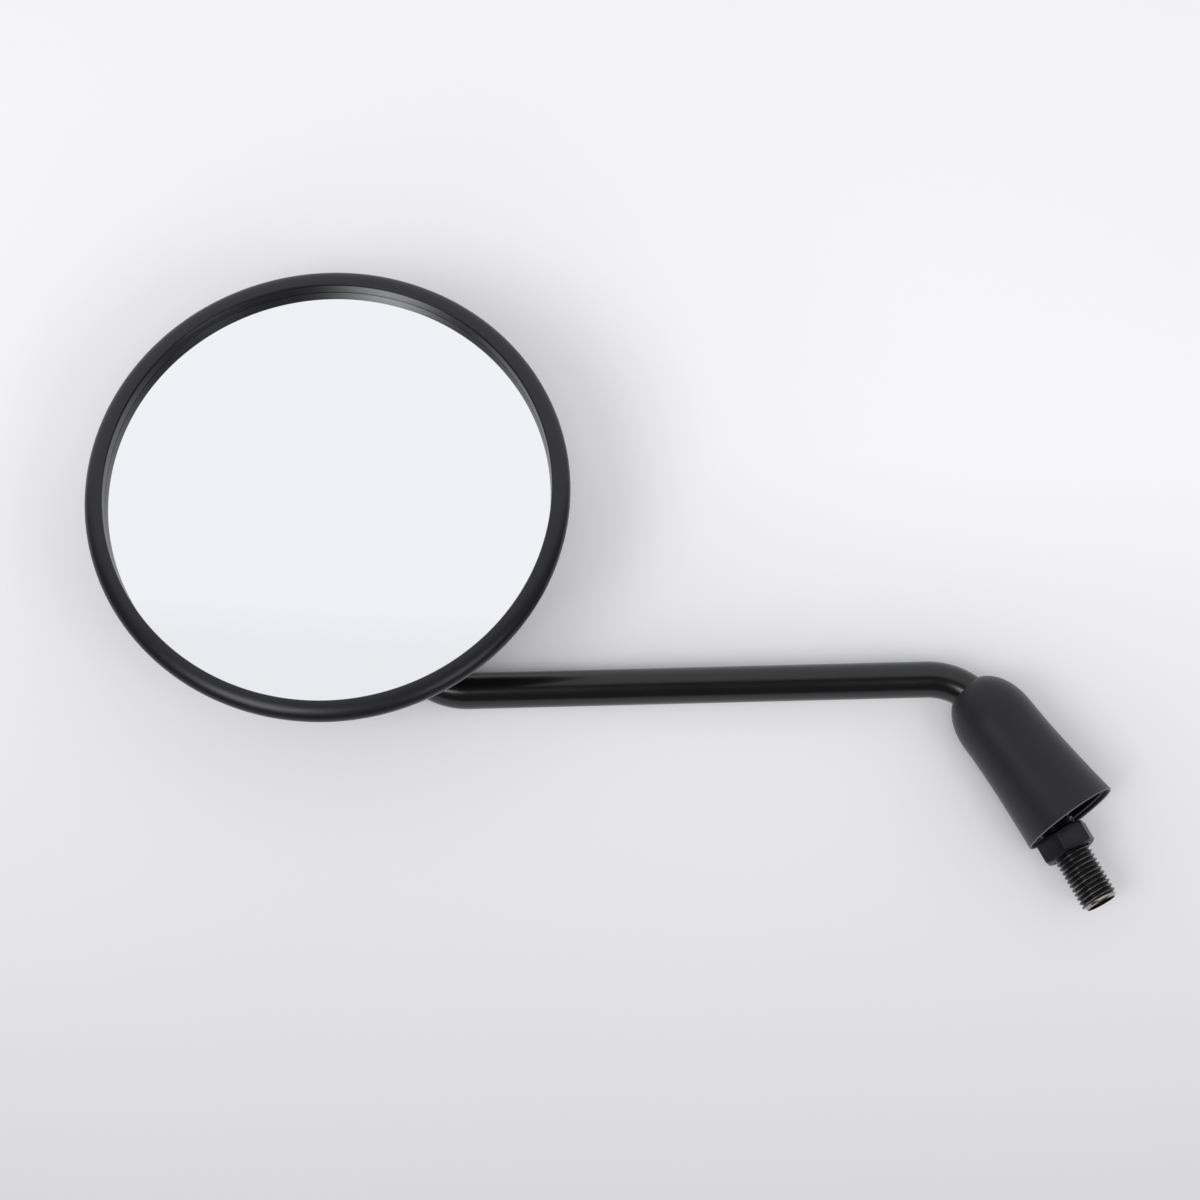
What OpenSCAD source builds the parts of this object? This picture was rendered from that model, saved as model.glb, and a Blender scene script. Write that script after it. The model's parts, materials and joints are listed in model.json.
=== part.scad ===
// Round left-hand motorcycle mirror on a bent stem, with a threaded stud,
// a lock nut, a rubber boot and a clamped ball joint behind the glass.
// Millimetres. The origin is on the stud's axis at the lock nut's lower face,
// +Z runs up the stem and the glass faces -Y.

/* [Stem] */
// Diameter of the bent rod
stem_d = 9.6; // [8:0.1:12]
// Height of the first bend's corner above the nut's lower face
corner_height = 53.4; // [50:0.1:60]
// Slope of the arm above the horizontal
arm_slope = 25.7; // [15:0.1:40]
// Length of the arm from corner to corner
arm_length = 141.7; // [110:0.1:180]
// Outward lean of the post behind the head
post_lean = 3.8; // [0:0.1:8]
// Length of the post from corner to corner
post_length = 47.5; // [42:0.1:60]
// Centre-line radius of the two large bends
bend_r = 17.5; // [15:0.5:20]
// Centre-line radius of the bend into the head
head_bend_r = 12; // [10:0.5:14]
// How much the rod's radius is drawn in by bending
bend_draw = 0.06; // [0.05:0.01:0.15]

/* [Stud and lock nut] */
// Crest diameter of the rolled thread
stud_d = 9.94; // [8:0.01:12]
// Depth below the crests at which the thread meets the nut's
thread_depth = 0.35; // [0.2:0.05:0.5]
// Free length of the stud below the nut
stud_free = 14.8; // [10:0.1:30]
// Chamfer at the stud's tip
stud_chamfer = 1; // [0.5:0.1:1.5]
// Length of the thread above the nut's lower face
runout_length = 14; // [10:0.5:20]
// Nut size across its flats
nut_af = 13; // [13:0.1:17]
// Nut thickness
nut_h = 6.2; // [5:0.1:7]
// Width of the chamfer round the nut's faces, at the flats
nut_chamfer = 0.3; // [0.1:0.05:0.5]
// How far the countersinks of the nut's bore reach past the thread's crests
nut_mouth = 0.2; // [0.1:0.05:0.4]
// Turn of the nut about the stud
nut_turn = 7.5; // [0:0.5:59.5]

/* [Boot] */
// Outer diameter at the boot's mouth
boot_mouth_d = 26; // [24:0.1:30]
// Outer diameter at the boot's shoulder
boot_shoulder_d = 21.3; // [20:0.1:24]
// Height of the shoulder above the mouth
boot_shoulder_h = 30.5; // [26:0.5:34]
// Full height of the boot
boot_h = 44.8; // [42:0.1:48]
// Wall of the boot
boot_wall = 1.5; // [1:0.1:2.5]
// Depth of the boot's hollow
boot_hollow = 34; // [28:0.5:36]
// Rise of the hollow's rounded top
boot_hollow_round = 5; // [3:0.5:8]
// Angle that the boot has slipped round the first bend
boot_slip = 7.1; // [0:0.1:8]
// Gap between the slipped boot's lowest edge and the top of the nut
boot_nut_gap = 0.1; // [0.05:0.05:2]
// Gap between the boot's collar and the stem
boot_gap = 0.4; // [0.2:0.05:0.5]

/* [Head] */
// Outer diameter of the bezel
head_d = 123.4; // [105:0.1:140]
// Distance of the bezel's widest circle in front of the post's axis
head_forward = 40; // [38:0.5:44]
// Radial width of the bezel from its outside to the glass's visible edge
rim_w = 4.8; // [4.6:0.1:6]
// Radial width of the bezel's rounded band
band_w = 4.4; // [3.5:0.1:4.6]
// Height of the band's crest in front of the widest circle
crest_h = 2.6; // [2:0.1:4]
// Radius of the bezel's rolled back edge
band_back_r = 3.6; // [3.5:0.1:5]
// Depth of the bezel's parting line behind the widest circle
parting = 2.7; // [2.4:0.1:3.4]
// How far the shell lies inside the bezel's widest circle
shell_inset = 1.9; // [1.5:0.1:2.2]
// Depth of the shell's dome behind the parting line
dome_h = 21; // [20:0.5:26]
// Wall of the shell
shell_wall = 2.2; // [1.8:0.1:3]
// Thickness of the ribs in the shell and on the carrier plate
rib_t = 1.6; // [1.2:0.1:2.4]

/* [Glass] */
// How far the glass reaches behind the bezel's lip
glass_lap = 0.5; // [0.4:0.1:1]
// Thickness of the glass
glass_t = 2; // [1.5:0.1:2.5]
// Radius of the glass's convex face
glass_curve = 1000; // [600:50:2000]
// Depth of the glass's edge behind the widest circle
glass_depth = 1.3; // [1.1:0.05:1.6]
// Thickness of the foam pad behind the glass
foam_t = 1.2; // [0.8:0.1:1.6]
// Thickness of the carrier plate's rim
carrier_t = 1.8; // [1.4:0.1:2.4]
// Wall of the gasket
gasket_wall = 0.6; // [0.5:0.05:0.9]
// Thickness of the gasket's foot behind the glass
gasket_foot_t = 0.8; // [0.6:0.1:1]

/* [Ball joint] */
// Diameter of the ball
ball_d = 18; // [16:0.5:19]
// Depth of the ball's centre behind the widest circle
ball_depth = 16; // [15.5:0.1:17.5]
// Wall of each nylon liner
liner_wall = 1.5; // [1.2:0.1:2]
// Gap at each spherical face
liner_gap = 0.2; // [0.15:0.01:0.3]
// Wall of the shell's socket
socket_wall = 2.6; // [2:0.1:3.5]
// Half angle of the shell's neck opening
neck_angle = 46; // [42:1:50]
// Thickness of the clamp plate
plate_t = 1.5; // [1:0.1:2]
// Distance of the clamp plate's flange in front of the ball's centre
flange_lead = 4; // [3:0.1:5]
// Pitch radius of the clamp screws
screw_pcd_r = 18; // [17:0.1:20]
// Diameter of the clamp screws
screw_d = 3.9; // [3:0.1:4.5]
// Depth that the screws reach into their bosses
screw_reach = 8; // [5:0.5:8]

/* [Hidden] */
$fn = 96;
// Length that reaches past the whole part
far = 400;
// How far a cut starts outside the face that it opens
over = 1;
// Gaps of pressed, seated and loose pieces
press_gap = 0.02;
seat_gap = 0.05;
loose_gap = 0.1;
hole_gap = 0.15;

// Stem
stem_r = stem_d / 2;
bend_lap = 0.4;
first_turn = 90 - arm_slope;
second_turn = 90 - arm_slope - post_lean;
first_tangent = bend_r * tan(first_turn / 2);
second_tangent = bend_r * tan(second_turn / 2);
bend_z = corner_height - first_tangent;
arm_straight = arm_length - first_tangent - second_tangent;
post_straight = post_length - second_tangent - head_bend_r;
stud_r = stud_d / 2;
runout_r = stud_r - thread_depth;

// Head axis, which runs along Y through the stem's last corner
head_x = -arm_length * cos(arm_slope) - post_length * sin(post_lean);
head_z = corner_height + arm_length * sin(arm_slope) + post_length * cos(post_lean);
head_r = head_d / 2;

// Neck, ball and the spigot that carries it
ball_r = ball_d / 2;
neck_step = 0.8;
neck_r = stem_r - neck_step;
spigot_r = 3;
shoulder_l = 1;
ball_front_cut = 2.5;
ball_back_flat = sqrt(ball_r * ball_r - pow(neck_r + loose_gap, 2));
ball_front_flat = ball_r - ball_front_cut;
circlip_t = 0.8;
circlip_r = 3.8;
circlip_slot = 4;
groove_r = 2.5;
spigot_lead = 1;
neck_start = head_forward - ball_depth - head_bend_r - shoulder_l;

// Liners, socket and clamp, measured from the ball's centre
liner_in_r = ball_r + liner_gap;
liner_out_r = liner_in_r + liner_wall;
seat_r = liner_out_r + liner_gap;
socket_r = seat_r + socket_wall;
liner_edge_angle = 80;
rear_liner_start = neck_angle + 4;
dish_start_angle = 35;
front_liner_start = dish_start_angle + 3;
dish_r = seat_r + plate_t;
flange_angle = acos(flange_lead / seat_r);
flange_back = ball_depth - flange_lead;
flange_front = flange_back - plate_t;

// Clamp screws
screw_r = screw_d / 2;
screw_head_r = 3.5;
screw_head_t = 2.4;
screw_dome_r = 5;
screw_flat_r = 2;
recess_l = 4.4;
recess_w = 0.8;
recess_depth = 1.2;
washer_t = 0.9;
washer_slit = 0.6;
boss_r = 3.8;
boss_margin = 0.7;
pilot_spare = 0.5;
plate_r = screw_pcd_r + boss_r + boss_margin;
screw_turns = [30, 150, 270];

// Glass stack, from the glass's edge back to the shell's ledge
lip_r = head_r - rim_w;
glass_r = lip_r + glass_lap;
gasket_in_r = glass_r + seat_gap;
gasket_out_r = gasket_in_r + gasket_wall;
gasket_foot_w = 2.2;
gasket_foot_r = glass_r - gasket_foot_w;
pocket_r = gasket_out_r + loose_gap;
foam_gap = 0.3;
foam_r = gasket_foot_r - foam_gap;
glass_back = glass_depth + glass_t;
foam_back = glass_back + foam_t;
gasket_front = glass_back + seat_gap;
gasket_back = gasket_front + gasket_foot_t;
carrier_back = gasket_back + carrier_t;
carrier_r = pocket_r - loose_gap;
dish_edge_r = foam_r + hole_gap;
ledge_t = 1.8;
ledge_r = foam_r - foam_gap;

// Ribs behind the carrier plate
carrier_rib_h = 1.6;
rib_back = foam_back + carrier_t + carrier_rib_h;
rib_ring_gap = 2;
rib_ring_r = plate_r + rib_ring_gap;
rib_end_gap = 0.5;

// Shell and bezel
parting_gap = 0.2;
shell_start = parting + parting_gap;
shell_r = head_r - shell_inset;
shell_spigot_step = 0.6;
shell_spigot_r = shell_r - shell_spigot_step;
shell_spigot_lap = 0.5;
skirt_in_r = shell_spigot_r + loose_gap;
lip_back = glass_depth - loose_gap;
lip_round = 0.7;
lip_draft = 0.1;
crest_r = head_r - band_w;
shell_rib_clear = 1;
socket_clear = 0.3;

// Boot: height of its mouth when it hangs straight, which puts the lowest
// edge of the slipped boot just above the nut
boot_mouth_r = boot_mouth_d / 2;
boot_shoulder_r = boot_shoulder_d / 2;
boot_taper = 1.5;
crown_power = 0.93;
boot_edge_rise = bend_z + (bend_r - boot_mouth_r) * sin(boot_slip) - nut_h - boot_nut_gap;
boot_drop = bend_z - boot_edge_rise / cos(boot_slip);

// Points of an elliptical arc
function arc(cx, cy, rx, ry, from, to, steps) =
    [for (i = [0 : steps]) let (a = from + (to - from) * i / steps) [cx + rx * cos(a), cy + ry * sin(a)]];

// Bends and straights of a round rod, each carrying what follows it.
// A straight laps over the slightly thinner bends at its ends.
module straight(length, radius, lap_before = 0, lap_after = 0) {
    translate([0, 0, -lap_before]) cylinder(h = lap_before + length + lap_after, r = radius);
    translate([0, 0, length]) children();
}

module bend(radius, angle, towards) {
    rotate([0, 0, towards]) {
        translate([radius, 0, 0])
            rotate([90, 0, 0])
                rotate([0, 0, 180 - angle])
                    rotate_extrude(angle = angle)
                        translate([radius, 0]) circle(r = stem_r - bend_draw);
        translate([radius * (1 - cos(angle)), 0, radius * sin(angle)])
            rotate([0, angle, 0])
                rotate([0, 0, -towards])
                    children();
    }
}

// Frame of the head: Z runs backwards from the bezel's widest circle
module on_head() {
    translate([head_x, -head_forward, head_z]) rotate([-90, 0, 0]) children();
}

// Frame of the ball: origin at its centre, Z backwards
module on_ball() {
    on_head() translate([0, 0, ball_depth]) children();
}

// Frame at one turn of the clamp screws' circle
module at_screw(turn) {
    rotate([0, 0, turn]) translate([screw_pcd_r, 0, 0]) children();
}

// Part of a spherical wall between two angles from the +Z pole
module sphere_zone(inner, outer, from, to) {
    rotate_extrude()
        polygon(concat(
            arc(0, 0, outer, outer, 90 - from, 90 - to, 16),
            arc(0, 0, inner, inner, 90 - to, 90 - from, 16)
        ));
}

module stud() {
    translate([0, 0, -stud_free])
        cylinder(h = stud_chamfer, r1 = stud_r - stud_chamfer, r2 = stud_r);
    translate([0, 0, stud_chamfer - stud_free])
        cylinder(h = stud_free - stud_chamfer, r = stud_r);
    cylinder(h = runout_length, r = runout_r);
}

// Turned end of the rod: shoulder, neck, ball seat and circlip groove
module ball_spigot() {
    straight(shoulder_l, stem_r, bend_lap)
        straight(neck_start - ball_back_flat, neck_r)
            straight(ball_back_flat + ball_front_flat, spigot_r)
                straight(circlip_t, groove_r)
                    straight(spigot_lead, spigot_r);
}

module stem() {
    color("#1c1c1f") {
        stud();
        translate([0, 0, runout_length])
            straight(bend_z - runout_length, stem_r, bend_lap, bend_lap)
                bend(bend_r, first_turn, 180)
                    straight(arm_straight, stem_r, bend_lap, bend_lap)
                        bend(bend_r, second_turn, 0)
                            straight(post_straight, stem_r, bend_lap, bend_lap)
                                bend(head_bend_r, 90, -90)
                                    ball_spigot();
    }
}

module ball() {
    color("#8d9095")
        on_ball()
            difference() {
                intersection() {
                    sphere(r = ball_r);
                    translate([0, 0, (ball_back_flat - ball_front_flat) / 2])
                        cube([2 * ball_d, 2 * ball_d, ball_back_flat + ball_front_flat], center = true);
                }
                cylinder(h = 2 * ball_d, r = spigot_r + press_gap, center = true);
            }
}

module circlip() {
    color("#5a5c60")
        on_ball()
            translate([0, 0, -ball_front_flat - circlip_t])
                linear_extrude(circlip_t)
                    difference() {
                        circle(r = circlip_r);
                        circle(r = groove_r + press_gap);
                        translate([0, -circlip_slot / 2]) square([circlip_r + over, circlip_slot]);
                    }
}

module lock_nut() {
    corner_r = nut_af / 2 / cos(30);
    face_r = nut_af / 2 - nut_chamfer;
    cone_r = corner_r + over;
    cone_rise = (cone_r - face_r) * tan(30);
    bore_r = runout_r + seat_gap;
    mouth_r = stud_r + nut_mouth;
    mouth_rise = mouth_r - bore_r;
    color("#232326")
        rotate([0, 0, nut_turn])
            intersection() {
                cylinder(h = nut_h, r = corner_r, $fn = 6);
                rotate_extrude()
                    polygon([
                        [bore_r, mouth_rise], [mouth_r, 0], [face_r, 0], [cone_r, cone_rise],
                        [cone_r, nut_h - cone_rise], [face_r, nut_h], [mouth_r, nut_h],
                        [bore_r, nut_h - mouth_rise]
                    ]);
            }
}

// Flank of the boot or of its hollow, from the mouth up to the shoulder
function boot_flank(inset) =
    [for (i = [0 : 10]) let (flare = (boot_mouth_r - boot_shoulder_r) * pow(1 - i / 10, boot_taper))
        [boot_shoulder_r - inset + flare, boot_shoulder_h * i / 10]];

// Outline of the boot's crown, from just above the shoulder up to its top
function boot_crown() =
    [for (a = [9 : 9 : 90])
        [boot_shoulder_r * pow(cos(a), crown_power),
            boot_shoulder_h + (boot_h - boot_shoulder_h) * pow(sin(a), crown_power)]];

// Way of the stem through the boot: the first bend and the straight below it
module boot_channel() {
    channel_r = stem_r + boot_gap;
    rotate([90, 0, 0])
        rotate_extrude(angle = 90)
            translate([bend_r, 0]) circle(r = channel_r);
    translate([bend_r, 0, boot_drop - bend_z]) cylinder(h = bend_z - boot_drop, r = channel_r);
}

module boot() {
    hollow_r = boot_shoulder_r - boot_wall;
    hollow_start = boot_hollow - boot_hollow_round;
    mouth_in_r = boot_mouth_r - boot_wall;
    color("#2f2e33")
        translate([-bend_r, 0, bend_z])
            rotate([0, -boot_slip, 0])
                difference() {
                    translate([bend_r, 0, boot_drop - bend_z])
                        difference() {
                            rotate_extrude()
                                polygon(concat([[0, 0]], boot_flank(0), boot_crown()));
                            rotate_extrude()
                                polygon(concat(
                                    [[0, -over], [mouth_in_r, -over]], boot_flank(boot_wall),
                                    arc(0, hollow_start, hollow_r, boot_hollow_round, 9, 90, 6)
                                ));
                        }
                    boot_channel();
                }
}

module rear_liner() {
    color("#d9d6cc") on_ball() sphere_zone(liner_in_r, liner_out_r, rear_liner_start, liner_edge_angle);
}

module front_liner() {
    color("#d9d6cc")
        on_ball()
            mirror([0, 0, 1])
                sphere_zone(liner_in_r, liner_out_r, front_liner_start, liner_edge_angle);
}

module clamp_plate() {
    color("#9a9da1")
        on_ball()
            mirror([0, 0, 1])
                difference() {
                    union() {
                        sphere_zone(seat_r, dish_r, dish_start_angle, flange_angle);
                        translate([0, 0, flange_lead])
                            difference() {
                                cylinder(h = plate_t, r = plate_r);
                                translate([0, 0, -over])
                                    cylinder(h = plate_t + 2 * over, r = seat_r * sin(flange_angle));
                            }
                    }
                    for (turn = screw_turns)
                        at_screw(turn) cylinder(h = flange_lead + plate_t + over, r = screw_r + hole_gap);
                }
}

module clamp_screw(index) {
    head_front = flange_front - washer_t - screw_head_t;
    color("#6d6f73")
        on_head()
            at_screw(screw_turns[index])
                translate([0, 0, head_front])
                    difference() {
                        union() {
                            intersection() {
                                cylinder(h = screw_head_t, r = screw_head_r);
                                translate([0, 0, sqrt(pow(screw_dome_r, 2) - pow(screw_flat_r, 2))])
                                    sphere(r = screw_dome_r);
                            }
                            cylinder(h = flange_back + screw_reach - head_front, r = screw_r);
                        }
                        for (turn = [0, 90])
                            rotate([0, 0, turn])
                                translate([-recess_l / 2, -recess_w / 2, -over])
                                    cube([recess_l, recess_w, recess_depth + over]);
                    }
}

module spring_washer(index) {
    color("#b8babd")
        on_head()
            at_screw(screw_turns[index])
                translate([0, 0, flange_front - washer_t])
                    linear_extrude(washer_t)
                        difference() {
                            circle(r = screw_head_r - loose_gap);
                            circle(r = screw_r + loose_gap);
                            translate([0, -washer_slit / 2]) square([screw_head_r + over, washer_slit]);
                        }
}

// Dome of the shell or of its inside, drawn in by an inset
module dome(inset) {
    foot = shell_start - (inset > 0 ? over : 0);
    rotate_extrude()
        polygon(concat(
            [[0, foot], [shell_r - inset, foot]],
            arc(0, shell_start, shell_r - inset, dome_h - inset, 0, 90, 20)
        ));
}

// Ledge, screw bosses, ribs and socket wall inside the shell
module shell_inside() {
    translate([0, 0, carrier_back])
        difference() {
            cylinder(h = ledge_t, r = head_r);
            translate([0, 0, -over]) cylinder(h = ledge_t + 2 * over, r = ledge_r);
        }
    for (turn = screw_turns)
        at_screw(turn) translate([0, 0, flange_back]) cylinder(h = far, r = boss_r);
    for (turn = [0 : 60 : 300])
        rotate([0, 0, turn])
            translate([seat_r + socket_wall / 2, -rib_t / 2, flange_back + shell_rib_clear])
                cube([head_r, rib_t, far]);
    translate([0, 0, flange_back + socket_clear]) cylinder(h = far, r = socket_r);
}

module shell() {
    color("#1f1f22")
        on_head()
            difference() {
                union() {
                    difference() {
                        dome(0);
                        dome(shell_wall);
                    }
                    // Spigot inside the bezel's skirt
                    translate([0, 0, glass_depth])
                        cylinder(h = shell_start + shell_spigot_lap - glass_depth, r = shell_spigot_r);
                    intersection() {
                        dome(shell_wall / 2);
                        shell_inside();
                    }
                    intersection() {
                        translate([0, 0, ball_depth]) sphere(r = socket_r);
                        translate([0, 0, flange_back + socket_clear])
                            cylinder(h = far, r = socket_r + over);
                    }
                }
                // Pocket for the glass, gasket and carrier
                translate([0, 0, carrier_back - far]) cylinder(h = far, r = pocket_r);
                // Socket and its neck opening
                translate([0, 0, ball_depth]) {
                    sphere(r = seat_r);
                    mirror([0, 0, 1]) cylinder(h = far, r = seat_r);
                    cylinder(h = far, r1 = 0, r2 = far * tan(neck_angle));
                }
                for (turn = screw_turns)
                    at_screw(turn)
                        translate([0, 0, flange_back - over])
                            cylinder(h = over + screw_reach + pilot_spare, r = screw_r + press_gap);
            }
}

// Depth at a radius of the glass's curve, which has the given depth at its edge
function curve_at(radius, edge_r, depth) =
    depth + sqrt(pow(glass_curve, 2) - pow(edge_r, 2)) - sqrt(pow(glass_curve, 2) - pow(radius, 2));

function curve_points(from, to, edge_r, depth) =
    [for (i = [0 : 8]) let (r = from + (to - from) * i / 8) [r, curve_at(r, edge_r, depth)]];

// Disc with the glass's curve on both faces
module curved_disc(front, back, radius) {
    rotate_extrude()
        polygon(concat(
            curve_points(0, radius, glass_r, front),
            curve_points(radius, 0, glass_r, back)
        ));
}

module mirror_glass() {
    color("#e4e8ec") on_head() curved_disc(glass_depth, glass_back, glass_r);
}

module foam_pad() {
    color("#3a3a3d") on_head() curved_disc(glass_back + seat_gap, foam_back, foam_r);
}

// Dished plate with a flat rim between the gasket and the shell's ledge,
// and a stiffening ring and spokes on its back
module carrier_plate() {
    spoke_front = foam_back + loose_gap;
    spoke_l = ledge_r - rib_end_gap - rib_ring_r - rib_t / 2;
    color("#2a2a2d")
        on_head() {
            rotate_extrude()
                polygon(concat(
                    curve_points(0, dish_edge_r, glass_r, foam_back + seat_gap),
                    [[dish_edge_r, gasket_back], [carrier_r, gasket_back], [carrier_r, carrier_back]],
                    curve_points(ledge_r, 0, ledge_r, carrier_back)
                ));
            translate([0, 0, foam_back])
                difference() {
                    cylinder(h = rib_back - foam_back, r = rib_ring_r + rib_t);
                    translate([0, 0, -over]) cylinder(h = far, r = rib_ring_r);
                }
            for (turn = [30 : 60 : 330])
                rotate([0, 0, turn])
                    translate([rib_ring_r + rib_t / 2, -rib_t / 2, spoke_front])
                        cube([spoke_l, rib_t, rib_back - spoke_front]);
        }
}

module glass_gasket() {
    color("#151517")
        on_head()
            rotate_extrude()
                polygon([
                    [gasket_foot_r, gasket_front], [gasket_in_r, gasket_front],
                    [gasket_in_r, glass_depth], [gasket_out_r, glass_depth],
                    [gasket_out_r, gasket_back], [gasket_foot_r, gasket_back]
                ]);
}

module bezel() {
    back_angle = asin(parting / band_back_r);
    color("#202023")
        on_head()
            rotate_extrude()
                polygon(concat(
                    arc(crest_r, 0, band_w, -crest_h, 0, 90, 12),
                    arc(crest_r, lip_round - crest_h, crest_r - lip_r, lip_round, 255, 180, 5),
                    [[lip_r - lip_draft, lip_back], [skirt_in_r, lip_back], [skirt_in_r, parting]],
                    arc(head_r - band_back_r, 0, band_back_r, band_back_r, back_angle, 8, 6)
                ));
}

stem();
ball();
circlip();
lock_nut();
boot();
rear_liner();
front_liner();
clamp_plate();
clamp_screw(0);  // clamp_screw_1
clamp_screw(1);  // clamp_screw_2
clamp_screw(2);  // clamp_screw_3
spring_washer(0);  // spring_washer_1
spring_washer(1);  // spring_washer_2
spring_washer(2);  // spring_washer_3
shell();
carrier_plate();
foam_pad();
mirror_glass();
glass_gasket();
bezel();
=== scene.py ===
# Round left-hand motorcycle mirror on a bent steel stem, laid on its back on a pale table.
import json
import math

import bmesh
import bpy
from mathutils import Matrix, Vector


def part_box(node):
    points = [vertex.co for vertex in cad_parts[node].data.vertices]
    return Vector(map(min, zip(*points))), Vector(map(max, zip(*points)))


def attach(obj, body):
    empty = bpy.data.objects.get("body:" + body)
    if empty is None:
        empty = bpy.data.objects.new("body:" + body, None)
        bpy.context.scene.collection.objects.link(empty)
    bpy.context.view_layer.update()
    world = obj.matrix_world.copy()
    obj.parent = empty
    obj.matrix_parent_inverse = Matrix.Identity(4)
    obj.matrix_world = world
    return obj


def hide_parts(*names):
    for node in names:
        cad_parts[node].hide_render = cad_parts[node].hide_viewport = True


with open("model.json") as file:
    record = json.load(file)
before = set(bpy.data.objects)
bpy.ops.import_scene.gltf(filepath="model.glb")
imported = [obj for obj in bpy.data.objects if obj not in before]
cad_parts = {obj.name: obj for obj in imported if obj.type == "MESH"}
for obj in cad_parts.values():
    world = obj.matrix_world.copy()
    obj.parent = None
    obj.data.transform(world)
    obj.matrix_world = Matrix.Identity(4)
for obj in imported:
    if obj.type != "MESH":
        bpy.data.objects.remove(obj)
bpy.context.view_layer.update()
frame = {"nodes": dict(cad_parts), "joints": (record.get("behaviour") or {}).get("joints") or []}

mm = 0.001


# Bent rod
# The stem is one cold-drawn steel rod, bent off the stud, back up into the post and
# forward into the head, where its end is turned down to a neck and a spigot for the
# ball. It is blasted and powder coated satin black.
def joint_place(name):
    """Centre of a joint in the frame."""
    return Vector(next(joint for joint in frame["joints"] if joint["name"] == name)["pos_m"])


first_bend = joint_place("boot_slip")
ball_centre = joint_place("head_spin")
rod_r = 4.8 * mm
rod_start = 13.6 * mm
bend_r = -first_bend.x
arm_slope = math.radians(25.7)
arm_straight = 120.5 * mm
post_lean = math.radians(3.8)
post_straight = 25.3 * mm
head_bend_r = 12 * mm
shoulder_l = 0.7 * mm
neck_r = 4 * mm
neck_l = 2.7 * mm
spigot_r = 2.98 * mm
spigot_l = 14.5 * mm
groove_r = 2.48 * mm
groove_l = 0.8 * mm
end_l = 0.7 * mm
turned_edge = 0.3 * mm
rod_sides = 72
bend_steps = 28


def edges_in(geom):
    """Edges among what an operator gave back."""
    return [g for g in geom if isinstance(g, bmesh.types.BMEdge)]


def extrude_ring(bm, ring, matrix):
    """Extrudes a ring of edges, moves the new ring by a matrix and gives it back."""
    geom = bmesh.ops.extrude_edge_only(bm, edges=ring)["geom"]
    ring_verts = {g for g in geom if isinstance(g, bmesh.types.BMVert)}
    bmesh.ops.transform(bm, matrix=matrix, verts=list(ring_verts), space=Matrix.Identity(4))
    return [edge for edge in edges_in(geom) if ring_verts.issuperset(edge.verts)]


def spin_ring(bm, ring, centre, axis, angle):
    """Sweeps a ring of edges round an axis and gives back the last one."""
    ring_verts = list({v for e in ring for v in e.verts})
    swept = bmesh.ops.spin(bm, geom=ring_verts + ring, cent=centre, axis=axis, angle=angle,
                           steps=bend_steps, use_duplicate=False)
    return edges_in(swept["geom_last"])


def resize_ring(centre, direction, length, scale):
    """Matrix that moves a ring along its axis and scales it about its centre."""
    scaled = Matrix.Scale(scale, 4) @ Matrix.Translation(-centre)
    return Matrix.Translation(centre + direction * length) @ scaled


def add_piece(name, bm, material, sharp=30):
    """Object of a finished mesh, smooth except at edges sharper than an angle in degrees."""
    bmesh.ops.remove_doubles(bm, verts=bm.verts, dist=0.001 * mm)
    bmesh.ops.recalc_face_normals(bm, faces=bm.faces)
    mesh = bpy.data.meshes.new(name)
    bm.to_mesh(mesh)
    bm.free()
    mesh.shade_smooth()
    mesh.set_sharp_from_angle(angle=math.radians(sharp))
    mesh.materials.append(material)
    piece = bpy.data.objects.new(name, mesh)
    bpy.context.scene.collection.objects.link(piece)
    return piece


def linear(hex_colour):
    """Linear colour of an sRGB hex value."""
    channels = [int(hex_colour[i:i + 2], 16) / 255 for i in (1, 3, 5)]
    return [c / 12.92 if c <= 0.04045 else ((c + 0.055) / 1.055) ** 2.4 for c in channels] + [1]


def add_node(material, kind, sockets={}, **settings):
    """Node with its settings; each socket takes a value or another node's output."""
    node = material.node_tree.nodes.new("ShaderNode" + kind)
    for setting, value in settings.items():
        setattr(node, setting, value)
    for socket, value in sockets.items():
        if isinstance(value, bpy.types.NodeSocket):
            material.node_tree.links.new(value, node.inputs[socket])
        else:
            node.inputs[socket].default_value = value
    return node


def new_material(name):
    """Empty node material, and the place on the object that its patterns start from."""
    material = bpy.data.materials.new(name)
    material.use_nodes = True
    material.node_tree.nodes.clear()
    return material, add_node(material, "TexCoord").outputs["Object"]


def noise(material, spot, size, detail):
    """Share from 0 to 1 by noise with blobs of about a size."""
    return add_node(material, "TexNoise", {
        "Vector": spot, "Scale": 1 / size, "Detail": detail}).outputs["Fac"]


def ramp(material, value, low, high, start=0, end=1):
    """Number from low to high as a value goes from start to end."""
    return add_node(material, "MapRange", {
        "Value": value, "From Min": start, "From Max": end,
        "To Min": low, "To Max": high}).outputs["Result"]


def blend(material, share, first, last):
    """Colour between two, each of them an sRGB hex value or an output."""
    first, last = (linear(c) if isinstance(c, str) else c for c in (first, last))
    return add_node(material, "Mix", {0: share, 6: first, 7: last}, data_type="RGBA").outputs[2]


def bump(material, height, strength, distance):
    """Normal of a relief of a height from 0 to 1 of a distance."""
    return add_node(material, "Bump", {
        "Height": height, "Strength": strength, "Distance": distance}).outputs["Normal"]


def shade(material, sockets):
    """Gives a material a surface with these sockets."""
    shader = add_node(material, "BsdfPrincipled", sockets)
    add_node(material, "OutputMaterial", {"Surface": shader.outputs["BSDF"]})


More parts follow.
